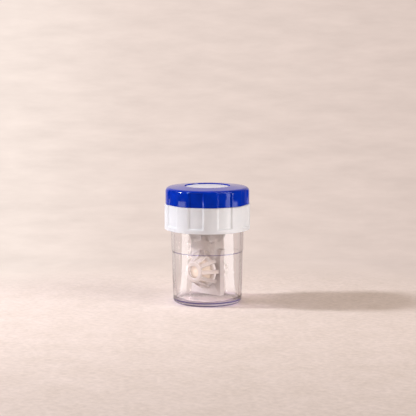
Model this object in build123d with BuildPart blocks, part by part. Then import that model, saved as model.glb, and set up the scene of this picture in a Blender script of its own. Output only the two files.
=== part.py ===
"""A hand-turned contact lens cleaner: a clear cup, a white screw collar and a blue knob
that turns two lens baskets hanging inside the cup.

Millimetres. +Z is up, and the origin is on the table, at the middle of the cup's base.
The axle of the two baskets runs along Y, with the front basket towards -Y.
"""

import os
from math import cos, pi, radians, sin, sqrt, tan

from build123d import *

# ---- Outside sizes ---------------------------------------------------------------------
cup_neck_radius = 21.25
collar_wall = 2.5  # outside its thread
knob_setback = 0.5  # the knob is this much smaller in radius than the collar
collar_bottom = 43.2  # height of the collar's lower edge above the table
collar_height = 14.8
knob_height = 10.35
turning_gap = 0.15  # between the collar's top and the knob

# ---- Grip panels, shared by collar and knob --------------------------------------------
grip_count = 9  # sunk panels; as many raised ones lie between them
grip_phase = 15.6  # degrees from +X to the middle of a sunk panel
grip_depth = 0.7
grip_corner = 0.35
collar_ledge = 2.7  # plain band below the collar's sunk panels
knob_ledge = 1.3  # plain rim above the knob's sunk panels
knob_rounding = 2.4
collar_rounding = 0.5

# ---- Cup -------------------------------------------------------------------------------
cup_wall = 1.6
cup_line_inset = 0.45  # from the neck's radius to the radius just below the fill line
cup_base_inset = 0.6  # from there to the base's radius
fill_line = 30.3
fill_step = 0.28  # the wall stands out by this much above the fill line
cup_rim = 55.2
base_rounding = 2.3
floor_top = 2.6
foot_recess = 0.8
foot_width = 2.0
cup_corner = 2.0  # inner corner between wall and floor

# ---- Screw thread between cup and collar -----------------------------------------------
thread_pitch = 4.0
thread_turns = 1.25
thread_depth = 1.0
thread_root = 2.0
thread_crest = 0.9
thread_gap = 0.25  # from each crest to the other piece's wall
thread_sink = 0.3  # the ridge's root, inside the wall
cup_thread_start = 47.4

# ---- Collar inside ---------------------------------------------------------------------
deck_thickness = 2.0
gasket_thickness = 0.8
gasket_width = 2.0
plug_gap = 0.45
plug_wall = 1.4
plug_depth = 4.0
boss_radius = 6.4
boss_length = 10.6
journal_radius = 3.0
running_fit = 0.05
seat_fit = 0.05

# ---- Knob inside -----------------------------------------------------------------------
knob_wall = 2.3
knob_top = 3.0
knob_crown = 4.5  # degrees by which the top falls from its recess to its shoulder
knob_boss_radius = 5.2
knob_rib_count = 6
knob_rib = 1.2
disc_recess_radius = 13.2
disc_recess_depth = 1.25
disc_gap = 0.3
disc_thickness = 0.6
hex_across = 5.0
hex_length = 5.2
screw_radius = 1.2
screw_head_radius = 2.6
screw_head_height = 1.5
screw_length = 8.0
screw_slot_length = 3.4  # each arm of the cross in the screw's head
screw_slot_width = 0.6
screw_slot_depth = 1.05

# ---- Drive shaft and pinion ------------------------------------------------------------
shaft_flange_radius = 4.6
shaft_flange = 0.8
washer_thickness = 0.6
washer_rim = 1.0  # past the shaft's flange
seal_section = 0.91  # diameter of the seal's round section
seal_groove_width = 1.27
seal_clearance = 0.02  # between the seal and its groove's floor
seal_squeeze = 0.02  # the seal stops this short of the bore
shaft_radius = 2.4
spindle_radius = 1.6
spindle_top = 32.0
square_across = 2.2
tip_radius = 0.9
tip_length = 2.4
tip_room = 0.2  # under the tip and under the pinion
pinion_room = 0.5  # round the pinion, in the plate's slot
pinion_teeth = 8
pinion_width = 1.8
pinion_hub_radius = 1.9
pinion_hub_length = 2.9
tooth_root_share = 0.26  # half a tooth's thickness, as a share of the tooth spacing
tooth_pitch_share = 0.19
tooth_tip_share = 0.085

# ---- Basket wheels ---------------------------------------------------------------------
axle_height = 19.25
axle_radius = 1.5
axle_overhang = 0.5  # past each clip
axle_chamfer = 0.2
wheel_teeth = 20
mesh_radius = 6.85  # from the axle to the middle of the pinion's teeth
wheel_addendum = 0.55
wheel_dedendum = 0.7
tooth_ring_width = 2.4
wheel_slot_share = 0.78  # of the tooth spacing, at the tips of the wheel's teeth
wheel_slot_taper = 20
wheel_slot_overrun = 1.0  # past both edges of the toothed ring
wheel_radius = 9.7
wheel_face = 5.0  # outer face of the wheel's disc, from the middle plane
hub_radius = 3.2
hub_end = 6.0
clip_thickness = 0.5
clip_radius = 2.7
clip_gap = 0.1
clip_groove_depth = 0.35
clip_mouth = 1.84  # open side of a clip

# ---- Lens seats ------------------------------------------------------------------------
seat_radius = 7.2
seat_rim = 6.4  # where the dome's curve starts, from the middle plane
dome_wall = 1.2
dome_top = 10.7  # height of the dome above the middle plane
dome_bend = 22.5  # angle from the top to the point that steers the dome's curve
seat_socket = 0.9
drain_count = 6
drain_radius = 0.6
drain_circle = 5.2

# ---- Baskets ---------------------------------------------------------------------------
finger_count = 10
finger_phase = 1.8
finger_width = 2.3
finger_thickness = 1.2
finger_root_inset = 0.4  # a finger's middle line at the ring, inside the ring's edge
finger_end_radius = 10.6
finger_end = 2.6  # middle of a finger's end face, from the middle plane
ring_radius = 6.0
ring_hole = 3.7
ring_face = 12.2
ring_thickness = 1.4
notch_gap = 0.15

# ---- Hanging plate and hanger ----------------------------------------------------------
plate_half = 11.2
plate_thickness = 3.3
plate_bottom = 4.9
plate_top = 32.5
plate_shoulder = 1.2
plate_edge = 0.9
plate_boss = 0.2
prong_inside = 4.6
prong_outside = 7.2
prong_top = 34.5
snap_height = 0.8
snap_depth = 0.6
hanger_half = 9.1
hanger_thickness = 7.8
arch_radius = 12.7
arch_band = 4.6
arch_rib = 1.8  # raised edge of the arch, on both faces
arch_rib_height = 0.8
flange_radius = 11.0
flange_bottom = 40.6
flange_thickness = 2.6
flare_height = 4.0
flare_angle = 22
core_radius = 4.0  # tube round the shaft, between the two legs
core_angle = 8
channel_radius = 2.9
leg_width = 1.9
sleeve_wall = 1.9
sleeve_height = 10.0
bead_height = 1.2
bead_depth = 0.5

# ---- Worked out from the above ---------------------------------------------------------
collar_top = collar_bottom + collar_height
knob_bottom = collar_top + turning_gap
total_height = knob_bottom + knob_height
deck_bottom = collar_top - deck_thickness
boss_bottom = deck_bottom - boss_length
thread_bore = cup_neck_radius + thread_depth + thread_gap
collar_radius = thread_bore + collar_wall
knob_radius = collar_radius - knob_setback
cup_line_radius = cup_neck_radius - cup_line_inset
cup_base_radius = cup_line_radius - cup_base_inset
cup_inner_rim = cup_neck_radius - cup_wall
cup_inner_floor = cup_base_radius - cup_wall
gear_ratio = pinion_teeth / wheel_teeth
pinion_pitch_radius = mesh_radius * gear_ratio
pinion_tip_radius = pinion_pitch_radius + wheel_addendum
pinion_root_radius = pinion_pitch_radius - wheel_dedendum
tooth_tip = pinion_pitch_radius - wheel_addendum
tooth_root = pinion_pitch_radius + wheel_dedendum
pinion_middle = axle_height + mesh_radius
pinion_bottom = pinion_middle - pinion_hub_length / 2
flange_top = flange_bottom + flange_thickness
washer_bottom = boss_bottom - running_fit - washer_thickness
shaft_flange_top = washer_bottom - running_fit
hub_start = plate_thickness / 2 + plate_boss + running_fit
half_plate = plate_thickness / 2
recess_floor = total_height - disc_recess_depth
knob_ceiling = total_height - knob_top
clip_start = hub_end + clip_gap
screw_seat = recess_floor - screw_head_height - disc_gap

AXLE = Axis((0, 0, axle_height), (0, 1, 0))


def side_plane(side, distance=0.0):
    """Upright plane across the axle, facing outwards: side is -1 in front, 1 behind."""
    origin = (0, side * distance, axle_height)
    return Plane(origin=origin, x_dir=(-side, 0, 0), z_dir=(0, side, 0))


def section_plane(side, angle=0.0):
    """Plane through the axle: x runs out from the axle at the angle, y runs outwards."""
    across = Vector(-side * cos(radians(angle)), 0, sin(radians(angle)))
    outwards = Vector(0, side, 0)
    return Plane(origin=(0, 0, axle_height), x_dir=across, z_dir=across.cross(outwards))


def polar(radius, angle):
    """A point of a sketch by its distance from the middle and its angle in degrees."""
    return (radius * cos(radians(angle)), radius * sin(radians(angle)))


def grip_outline(radius):
    """The round outline with its sunk panels, and every corner softened."""
    slope = grip_depth / radius * 180 / pi / 2
    half_panel = 90 / grip_count
    with BuildSketch() as outline:
        Circle(radius)
        with BuildSketch(mode=Mode.PRIVATE) as panel:
            with BuildLine():
                inner = radius - grip_depth
                outer = radius + grip_depth
                foot = half_panel - slope
                lip = half_panel + slope
                Line(polar(inner, -foot), polar(outer, -lip))
                Line(polar(outer, -lip), polar(outer, lip))
                Line(polar(outer, lip), polar(inner, foot))
                ThreePointArc(polar(inner, foot), (inner, 0), polar(inner, -foot))
            make_face()
        with PolarLocations(0, grip_count, start_angle=grip_phase):
            add(panel.sketch, mode=Mode.SUBTRACT)
        fillet(outline.vertices(), radius=grip_corner)
    return outline.sketch


def helical_ridge(radius, outwards, start, turns):
    """A screw thread's ridge, rooted in the wall at the radius."""
    way = 1 if outwards else -1
    half_root = thread_root / 2
    half_crest = thread_crest / 2
    path = Helix(thread_pitch, thread_pitch * turns, radius, center=(0, 0, start))
    with BuildPart() as ridge:
        with BuildSketch(Plane(origin=path @ 0, x_dir=(1, 0, 0), z_dir=(0, -1, 0))):
            with BuildLine():
                Polyline(
                    (-way * thread_sink, -half_root),
                    (0, -half_root),
                    (way * thread_depth, -half_crest),
                    (way * thread_depth, half_crest),
                    (0, half_root),
                    (-way * thread_sink, half_root),
                    close=True,
                )
            make_face()
        sweep(path=path, is_frenet=True)
    return ridge.part


# ======================================================================================
# Cup
# ======================================================================================
with BuildPart() as cup:
    with BuildSketch(Plane.XZ):
        with BuildLine():
            foot_outer = cup_base_radius - base_rounding
            foot_inner = foot_outer - foot_width
            inner_floor_edge = cup_inner_floor - cup_corner
            neck_start = fill_line + fill_step
            line_outer = cup_line_radius + fill_step
            Line((0, foot_recess), (foot_inner - foot_recess, foot_recess))
            Line((foot_inner - foot_recess, foot_recess), (foot_inner, 0))
            Line((foot_inner, 0), (foot_outer, 0))
            RadiusArc((foot_outer, 0), (cup_base_radius, base_rounding), -base_rounding)
            Line((cup_base_radius, base_rounding), (cup_line_radius, fill_line))
            Line((cup_line_radius, fill_line), (line_outer, neck_start))
            Line((line_outer, neck_start), (cup_neck_radius, collar_bottom))
            Line((cup_neck_radius, collar_bottom), (cup_neck_radius, cup_rim))
            Line((cup_neck_radius, cup_rim), (cup_inner_rim, cup_rim))
            Line((cup_inner_rim, cup_rim), (cup_inner_rim, collar_bottom))
            Line((cup_inner_rim, collar_bottom), (cup_inner_floor, floor_top + cup_corner))
            RadiusArc(
                (cup_inner_floor, floor_top + cup_corner),
                (inner_floor_edge, floor_top),
                cup_corner,
            )
            Line((inner_floor_edge, floor_top), (0, floor_top))
            Line((0, floor_top), (0, foot_recess))
        make_face()
    revolve(axis=Axis.Z)
    add(helical_ridge(cup_neck_radius, True, cup_thread_start, thread_turns))
cup.part.label = "cup"

# ======================================================================================
# Collar and the gasket under its deck
# ======================================================================================
gasket_inner = cup_inner_rim - (gasket_width - cup_wall) / 2
plug_outer = cup_inner_rim - plug_gap
bead_middle = boss_bottom + 2 * bead_height

with BuildPart() as collar:
    with BuildSketch(Plane.XY.offset(collar_bottom)):
        Circle(collar_radius)
    extrude(amount=collar_height)
    fillet(collar.edges().sort_by(Axis.Z)[0], radius=collar_rounding)
    chamfer(collar.edges().sort_by(Axis.Z)[-1], length=collar_rounding / 2)
    with BuildSketch(Plane.XY.offset(collar_bottom + collar_ledge)):
        Circle(collar_radius + grip_depth)
        add(grip_outline(collar_radius), mode=Mode.SUBTRACT)
    extrude(amount=collar_height, mode=Mode.SUBTRACT)
    with BuildSketch(Plane.XY.offset(collar_bottom)):
        Circle(thread_bore)
    extrude(amount=deck_bottom - collar_bottom, mode=Mode.SUBTRACT)
    with BuildSketch(Plane.XY.offset(deck_bottom)):
        Circle(plug_outer)
        Circle(plug_outer - plug_wall, mode=Mode.SUBTRACT)
    extrude(amount=-plug_depth)
    with BuildSketch(Plane.XY.offset(boss_bottom)):
        Circle(boss_radius)
    extrude(amount=boss_length)
    with BuildSketch(Plane.XY.offset(bead_middle - bead_height / 2)):
        Circle(boss_radius + seat_fit)
        Circle(boss_radius - bead_depth, mode=Mode.SUBTRACT)
    extrude(amount=bead_height, mode=Mode.SUBTRACT)
    with BuildSketch(Plane.XY.offset(boss_bottom)):
        Circle(journal_radius + running_fit)
    extrude(amount=collar_top - boss_bottom, mode=Mode.SUBTRACT)
    collar_thread_start = cup_thread_start - thread_pitch / 2
    add(helical_ridge(thread_bore, False, collar_thread_start, thread_turns))
collar.part.label = "collar"

with BuildPart() as cup_gasket:
    with BuildSketch(Plane.XY.offset(cup_rim)):
        Circle(gasket_inner + gasket_width)
        Circle(gasket_inner, mode=Mode.SUBTRACT)
    extrude(amount=gasket_thickness)
cup_gasket.part.label = "cup_gasket"

# ======================================================================================
# Knob, its disc and its screw
# ======================================================================================
with BuildPart() as knob:
    with BuildSketch(Plane.XY.offset(knob_bottom)):
        Circle(knob_radius)
    extrude(amount=knob_height)
    with BuildSketch(Plane.XZ):
        with BuildLine():
            crown_end = knob_radius + grip_depth
            crown_fall = (crown_end - disc_recess_radius) * tan(radians(knob_crown))
            Polyline(
                (disc_recess_radius, total_height),
                (crown_end, total_height),
                (crown_end, total_height - crown_fall),
                close=True,
            )
        make_face()
    revolve(axis=Axis.Z, mode=Mode.SUBTRACT)
    rims = knob.edges().filter_by(GeomType.CIRCLE).group_by(Axis.Z)
    fillet(rims[-2], radius=knob_rounding)
    with BuildSketch(Plane.XY.offset(knob_bottom)):
        Circle(knob_radius + grip_depth)
        add(grip_outline(knob_radius), mode=Mode.SUBTRACT)
    extrude(amount=knob_height - knob_ledge, mode=Mode.SUBTRACT)
    with BuildSketch(Plane.XY.offset(knob_bottom)):
        Circle(knob_radius - knob_wall)
        Circle(knob_boss_radius, mode=Mode.SUBTRACT)
    extrude(amount=knob_ceiling - knob_bottom, mode=Mode.SUBTRACT)
    with BuildSketch(Plane.XY.offset(knob_ceiling)):
        with PolarLocations(0, knob_rib_count):
            rib_length = knob_radius - knob_wall / 2
            Rectangle(rib_length, knob_rib, align=(Align.MIN, Align.CENTER))
    extrude(amount=-(knob_ceiling - knob_bottom) / 2)
    with BuildSketch(Plane.XY.offset(recess_floor)):
        Circle(disc_recess_radius)
    extrude(amount=disc_recess_depth, mode=Mode.SUBTRACT)
    with BuildSketch(Plane.XY.offset(knob_bottom)):
        RegularPolygon(hex_across / 2 + seat_fit, 6, major_radius=False)
    extrude(amount=hex_length, mode=Mode.SUBTRACT)
    with BuildSketch(Plane.XY.offset(knob_bottom)):
        Circle(screw_radius + 2 * seat_fit)
    extrude(amount=recess_floor - knob_bottom, mode=Mode.SUBTRACT)
    with BuildSketch(Plane.XY.offset(screw_seat)):
        Circle(screw_head_radius + disc_gap)
    extrude(amount=recess_floor - screw_seat, mode=Mode.SUBTRACT)
knob.part.label = "knob"

with BuildPart() as knob_disc:
    with BuildSketch(Plane.XY.offset(recess_floor)):
        Circle(disc_recess_radius - disc_gap)
    extrude(amount=disc_thickness)
    fillet(knob_disc.edges().sort_by(Axis.Z)[-1], radius=disc_thickness / 4)
knob_disc.part.label = "knob_disc"

with BuildPart() as knob_screw:
    with BuildSketch(Plane.XY.offset(screw_seat)):
        Circle(screw_head_radius)
    extrude(amount=screw_head_height)
    fillet(knob_screw.edges().sort_by(Axis.Z)[-1], radius=screw_head_height / 2)
    with BuildSketch(Plane.XY.offset(screw_seat)):
        Circle(screw_radius)
    extrude(amount=-screw_length)
    chamfer(knob_screw.edges().sort_by(Axis.Z)[0], length=screw_radius / 2)
    with BuildSketch(Plane.XY.offset(screw_seat + screw_head_height)):
        with PolarLocations(0, 2, angular_range=90, endpoint=True):
            Rectangle(screw_slot_length, screw_slot_width)
    extrude(amount=-screw_slot_depth, mode=Mode.SUBTRACT)
knob_screw.part.label = "knob_screw"

# ======================================================================================
# Drive shaft, its seal and washer, and the pinion on its lower end
# ======================================================================================
seal_middle = (boss_bottom + deck_bottom) / 2 + seal_section
seal_ring_radius = journal_radius + running_fit - seal_squeeze - seal_section / 2
groove_floor = seal_ring_radius - seal_section / 2 - seal_clearance
hex_top = knob_bottom + hex_length - seat_fit
pinion_top = pinion_bottom + pinion_hub_length
shaft_flange_bottom = shaft_flange_top - shaft_flange

with BuildPart() as drive_shaft:
    with BuildSketch(Plane.XY.offset(shaft_flange_top)):
        Circle(journal_radius)
    extrude(amount=knob_bottom - turning_gap / 2 - shaft_flange_top)
    with BuildSketch(Plane.XY.offset(collar_top)):
        RegularPolygon(hex_across / 2, 6, major_radius=False)
    extrude(amount=hex_top - collar_top)
    with BuildSketch(Plane.XY.offset(seal_middle - seal_groove_width / 2)):
        Circle(journal_radius + running_fit)
        Circle(groove_floor, mode=Mode.SUBTRACT)
    extrude(amount=seal_groove_width, mode=Mode.SUBTRACT)
    with BuildSketch(Plane.XY.offset(shaft_flange_bottom)):
        Circle(shaft_flange_radius)
    extrude(amount=shaft_flange)
    with BuildSketch(Plane.XY.offset(spindle_top)):
        Circle(shaft_radius)
    extrude(amount=shaft_flange_bottom - spindle_top)
    with BuildSketch(Plane.XY.offset(pinion_top)):
        Circle(spindle_radius)
    extrude(amount=spindle_top - pinion_top)
    with BuildSketch(Plane.XY.offset(pinion_bottom)):
        Rectangle(square_across, square_across)
    extrude(amount=pinion_hub_length)
    with BuildSketch(Plane.XY.offset(pinion_bottom)):
        Circle(tip_radius)
    extrude(amount=-tip_length)
    with BuildSketch(Plane.XY.offset(hex_top)):
        Circle(screw_radius + seat_fit / 2)
    extrude(amount=-screw_length, mode=Mode.SUBTRACT)
drive_shaft.part.label = "drive_shaft"

with BuildPart() as shaft_seal:
    with BuildSketch(Plane.XZ):
        with Locations((seal_ring_radius, seal_middle)):
            Circle(seal_section / 2)
    revolve(axis=Axis.Z)
shaft_seal.part.label = "shaft_seal"

with BuildPart() as thrust_washer:
    with BuildSketch(Plane.XY.offset(washer_bottom)):
        Circle(shaft_flange_radius + washer_rim)
        Circle(journal_radius + 2 * running_fit, mode=Mode.SUBTRACT)
    extrude(amount=washer_thickness)
thrust_washer.part.label = "thrust_washer"

tooth_spacing = 2 * pi * pinion_pitch_radius / pinion_teeth
half_root = tooth_root_share * tooth_spacing
half_pitch = tooth_pitch_share * tooth_spacing
half_tip = tooth_tip_share * tooth_spacing

with BuildPart() as drive_pinion:
    with BuildSketch(Plane.XY.offset(pinion_middle - pinion_width / 2)):
        Circle(pinion_root_radius)
        with BuildSketch(mode=Mode.PRIVATE) as tooth:
            with BuildLine():
                Polyline(
                    (pinion_hub_radius / 2, -half_root),
                    (pinion_root_radius, -half_root),
                    (pinion_pitch_radius, -half_pitch),
                    (pinion_tip_radius, -half_tip),
                    (pinion_tip_radius, half_tip),
                    (pinion_pitch_radius, half_pitch),
                    (pinion_root_radius, half_root),
                    (pinion_hub_radius / 2, half_root),
                    close=True,
                )
            make_face()
        with PolarLocations(0, pinion_teeth, start_angle=90):
            add(tooth.sketch)
    extrude(amount=pinion_width)
    with BuildSketch(Plane.XY.offset(pinion_bottom)):
        Circle(pinion_hub_radius)
    extrude(amount=pinion_hub_length)
    with BuildSketch(Plane.XY.offset(pinion_bottom)):
        Rectangle(square_across + seat_fit, square_across + seat_fit)
    extrude(amount=pinion_hub_length, mode=Mode.SUBTRACT)
drive_pinion.part.label = "drive_pinion"

# ======================================================================================
# Hanger: a sleeve on the collar's boss, a flange, two legs beside the shaft's tube, and an
# arch over the baskets
# ======================================================================================
sleeve_inner = boss_radius + seat_fit
sleeve_outer = sleeve_inner + sleeve_wall
half_hanger = hanger_thickness / 2
snap_bottom = prong_top - 3 * snap_height / 2

with BuildPart() as hanger:
    with BuildSketch(Plane.XY.offset(flange_bottom)):
        Circle(flange_radius)
    extrude(amount=flange_thickness)
    with BuildSketch(Plane.XY.offset(flange_bottom)):
        Circle(flange_radius)
    extrude(amount=-flare_height, taper=flare_angle)
    with BuildSketch(Plane.XY.offset(axle_height)):
        Rectangle(2 * hanger_half, hanger_thickness)
    extrude(amount=flange_bottom - axle_height)
    with BuildSketch(Plane.XZ.offset(-half_hanger - arch_rib_height)):
        with Locations((0, axle_height)):
            Circle(arch_radius + arch_rib)
            reach = arch_radius + arch_rib
            upper_half = (Align.CENTER, Align.MIN)
            Rectangle(2 * hanger_half, reach, align=upper_half, mode=Mode.INTERSECT)
    extrude(amount=hanger_thickness + 2 * arch_rib_height)
    with BuildSketch(Plane.XZ.offset(-flange_radius)):
        with Locations((0, axle_height)):
            Circle(arch_radius)
    extrude(amount=2 * flange_radius, mode=Mode.SUBTRACT)
    with BuildSketch(Plane.XZ.offset(-flange_radius)):
        with Locations((0, axle_height)):
            window_height = flange_bottom - axle_height
            Rectangle(2 * (hanger_half - leg_width), window_height, align=upper_half)
            Circle(arch_radius + arch_band, mode=Mode.SUBTRACT)
    extrude(amount=2 * flange_radius, mode=Mode.SUBTRACT)
    with BuildSketch(Plane.XY.offset(flange_bottom)):
        Circle(core_radius)
    extrude(amount=axle_height + arch_radius + arch_band / 2 - flange_bottom, taper=core_angle)
    with BuildSketch(Plane.XY.offset(axle_height)):
        Circle(channel_radius)
    extrude(amount=flange_top - axle_height, mode=Mode.SUBTRACT)
    plate_room = plate_thickness + 2 * seat_fit
    with BuildSketch(Plane.XY.offset(axle_height)):
        Rectangle(4 * plate_half, plate_room)
    extrude(amount=plate_top + seat_fit - axle_height, mode=Mode.SUBTRACT)
    with BuildSketch(Plane.XY.offset(axle_height)):
        for way in (-1, 1):
            with Locations((way * (prong_inside + prong_outside) / 2, 0)):
                Rectangle(prong_outside - prong_inside + 2 * seat_fit, plate_room)
    extrude(amount=prong_top + seat_fit - axle_height, mode=Mode.SUBTRACT)
    with BuildSketch(Plane.XY.offset(snap_bottom - seat_fit)):
        Rectangle(2 * (prong_outside + snap_depth + seat_fit), plate_room)
        Rectangle(2 * prong_inside, plate_room, mode=Mode.SUBTRACT)
    extrude(amount=snap_height + 2 * seat_fit, mode=Mode.SUBTRACT)
    with BuildSketch(Plane.XY.offset(flange_top)):
        Circle(sleeve_outer)
        Circle(sleeve_inner, mode=Mode.SUBTRACT)
    extrude(amount=sleeve_height)
    with BuildSketch(Plane.XY.offset(bead_middle - bead_height / 2 + seat_fit)):
        Circle(sleeve_inner + sleeve_wall / 2)
        Circle(boss_radius - bead_depth + seat_fit, mode=Mode.SUBTRACT)
    extrude(amount=bead_height - 2 * seat_fit)
hanger.part.label = "hanger"

# ======================================================================================
# Plate between the two wheels, with prongs that snap into the hanger
# ======================================================================================
with BuildPart() as basket_plate:
    with BuildSketch(Plane.XZ.offset(-half_plate)):
        with BuildLine():
            shoulder = plate_half + plate_shoulder
            slot_half = pinion_tip_radius + pinion_room
            slot_bottom = pinion_bottom - tip_room
            Polyline(
                (plate_half, plate_bottom),
                (plate_half, plate_top - 2 * plate_shoulder),
                (shoulder, plate_top),
                (prong_outside, plate_top),
                (prong_outside, prong_top),
                (prong_inside, prong_top),
                (prong_inside, plate_top - plate_shoulder),
                (slot_half, plate_top - 2 * plate_shoulder),
                (slot_half, slot_bottom),
                (-slot_half, slot_bottom),
                (-slot_half, plate_top - 2 * plate_shoulder),
                (-prong_inside, plate_top - plate_shoulder),
                (-prong_inside, prong_top),
                (-prong_outside, prong_top),
                (-prong_outside, plate_top),
                (-shoulder, plate_top),
                (-plate_half, plate_top - 2 * plate_shoulder),
                (-plate_half, plate_bottom),
                close=True,
            )
        make_face()
    extrude(amount=plate_thickness)
    side_edges = basket_plate.edges().filter_by(Axis.Z)
    side_edges = side_edges.filter_by(lambda edge: abs(edge.center().X) > plate_half - seat_fit)
    fillet(side_edges, radius=plate_edge)
    for side in (-1, 1):
        with BuildSketch(side_plane(side, half_plate)):
            Circle(hub_radius)
        extrude(amount=plate_boss)
    with BuildSketch(side_plane(-1, 2 * half_plate)):
        Circle(axle_radius + seat_fit / 2)
    extrude(amount=-4 * half_plate, mode=Mode.SUBTRACT)
    with BuildSketch(Plane.XY.offset(pinion_bottom)):
        Circle(tip_radius + running_fit)
    extrude(amount=-tip_length - tip_room, mode=Mode.SUBTRACT)
    for way in (-1, 1):
        with BuildSketch(Plane.XZ.offset(-half_plate)):
            with BuildLine():
                Polyline(
                    (way * prong_outside, snap_bottom),
                    (way * (prong_outside + snap_depth), snap_bottom),
                    (way * prong_outside, snap_bottom + snap_height),
                    close=True,
                )
            make_face()
        extrude(amount=plate_thickness)
basket_plate.part.label = "basket_plate"

# ======================================================================================
# Axle and its two end clips
# ======================================================================================
clip_groove = axle_radius - clip_groove_depth
axle_end = clip_start + clip_thickness + axle_overhang

with BuildPart() as wheel_axle:
    with BuildSketch(side_plane(-1, axle_end)):
        Circle(axle_radius)
    extrude(amount=-2 * axle_end)
    rows = wheel_axle.edges().group_by(Axis.Y)
    chamfer(rows[0] + rows[-1], length=axle_chamfer)
    for side in (-1, 1):
        with BuildSketch(side_plane(side, clip_start - running_fit)):
            Circle(axle_radius + running_fit)
            Circle(clip_groove, mode=Mode.SUBTRACT)
        extrude(amount=clip_thickness + 2 * running_fit, mode=Mode.SUBTRACT)
wheel_axle.part.label = "wheel_axle"

with BuildPart() as axle_clips:
    for side in (-1, 1):
        with BuildSketch(side_plane(side, clip_start)):
            Circle(clip_radius)
            Circle(clip_groove + seat_fit / 2, mode=Mode.SUBTRACT)
            lower_half = (Align.CENTER, Align.MAX)
            Rectangle(clip_mouth, 2 * clip_radius, align=lower_half, mode=Mode.SUBTRACT)
        extrude(amount=clip_thickness)
axle_clips.part.label = "axle_clips"


# ======================================================================================
# Wheels: a toothed face towards the pinion, notches for the basket's fingers
# ======================================================================================
def finger_slope():
    """How far a finger's middle line moves out for each millimetre towards its end."""
    drop = ring_face - ring_thickness / 2 - finger_end
    return (finger_end_radius - ring_radius + finger_root_inset) / drop


def finger_inside(distance):
    """Radius of a finger's inner face at a distance from the middle plane."""
    slope = finger_slope()
    middle = finger_end_radius - slope * (distance - finger_end)
    return middle - finger_thickness / 2 * sqrt(1 + slope**2)


def build_wheel(side):
    ring_inner = mesh_radius - tooth_ring_width / 2
    ring_outer = mesh_radius + tooth_ring_width / 2
    notch_bottom = finger_inside(wheel_face) - notch_gap
    tooth_height = tooth_root - tooth_tip
    half_slot = wheel_slot_share * 180 / wheel_teeth
    slot_start = (ring_inner - wheel_slot_overrun) / cos(radians(half_slot))
    slot_end = (ring_outer + wheel_slot_overrun) / cos(radians(half_slot))
    with BuildPart() as wheel:
        with BuildSketch(side_plane(side, tooth_root)):
            Circle(wheel_radius)
            with PolarLocations(notch_bottom, finger_count, start_angle=finger_phase):
                notch_width = finger_width + 2 * notch_gap
                outwards = (Align.MIN, Align.CENTER)
                Rectangle(wheel_radius, notch_width, align=outwards, mode=Mode.SUBTRACT)
        extrude(amount=wheel_face - tooth_root)
        with BuildSketch(side_plane(side, tooth_tip)):
            Circle(ring_outer)
            Circle(ring_inner, mode=Mode.SUBTRACT)
        extrude(amount=tooth_height)
        with BuildSketch(side_plane(side, tooth_tip)):
            for index in range(wheel_teeth):
                middle = 90 + 360 / wheel_teeth * index
                Polygon(
                    polar(slot_start, middle - half_slot),
                    polar(slot_end, middle - half_slot),
                    polar(slot_end, middle + half_slot),
                    polar(slot_start, middle + half_slot),
                    align=None,
                )
        extrude(amount=tooth_height, taper=wheel_slot_taper, mode=Mode.SUBTRACT)
        with BuildSketch(side_plane(side, hub_start)):
            Circle(hub_radius)
        extrude(amount=hub_end - hub_start)
        with BuildSketch(side_plane(side, hub_start)):
            Circle(axle_radius + running_fit)
        extrude(amount=hub_end - hub_start, mode=Mode.SUBTRACT)
    return wheel.part


# ======================================================================================
# Lens seats: a hollow dome with drain holes, pushed onto the wheel's hub
# ======================================================================================
def build_seat(side):
    dome_height = dome_top - seat_rim
    dome_radius = (seat_radius**2 + dome_height**2) / (2 * dome_height)
    centre = dome_top - dome_radius
    inner_radius = dome_radius - dome_wall
    inner_rim = sqrt(inner_radius**2 - (wheel_face - centre) ** 2)
    bend = radians(dome_bend)
    outer_mid = (dome_radius * sin(bend), centre + dome_radius * cos(bend))
    inner_mid = (inner_radius * sin(bend), centre + inner_radius * cos(bend))
    with BuildPart() as seat:
        with BuildSketch(section_plane(side)):
            with BuildLine():
                Line((inner_rim, wheel_face), (seat_radius, wheel_face))
                Line((seat_radius, wheel_face), (seat_radius, seat_rim))
                ThreePointArc((seat_radius, seat_rim), outer_mid, (0, dome_top))
                Line((0, dome_top), (0, dome_top - dome_wall))
                ThreePointArc((0, dome_top - dome_wall), inner_mid, (inner_rim, wheel_face))
            make_face()
        revolve(axis=AXLE)
        socket_outer = hub_radius + seat_fit + seat_socket
        socket_top = centre + sqrt(inner_radius**2 - socket_outer**2) + dome_wall / 2
        with BuildSketch(side_plane(side, wheel_face)):
            Circle(socket_outer)
            Circle(hub_radius + seat_fit, mode=Mode.SUBTRACT)
        extrude(amount=socket_top - wheel_face)
        with BuildSketch(side_plane(side, wheel_face)):
            with PolarLocations(drain_circle, drain_count):
                Circle(drain_radius)
        extrude(amount=dome_top - wheel_face, mode=Mode.SUBTRACT)
    return seat.part


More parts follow.
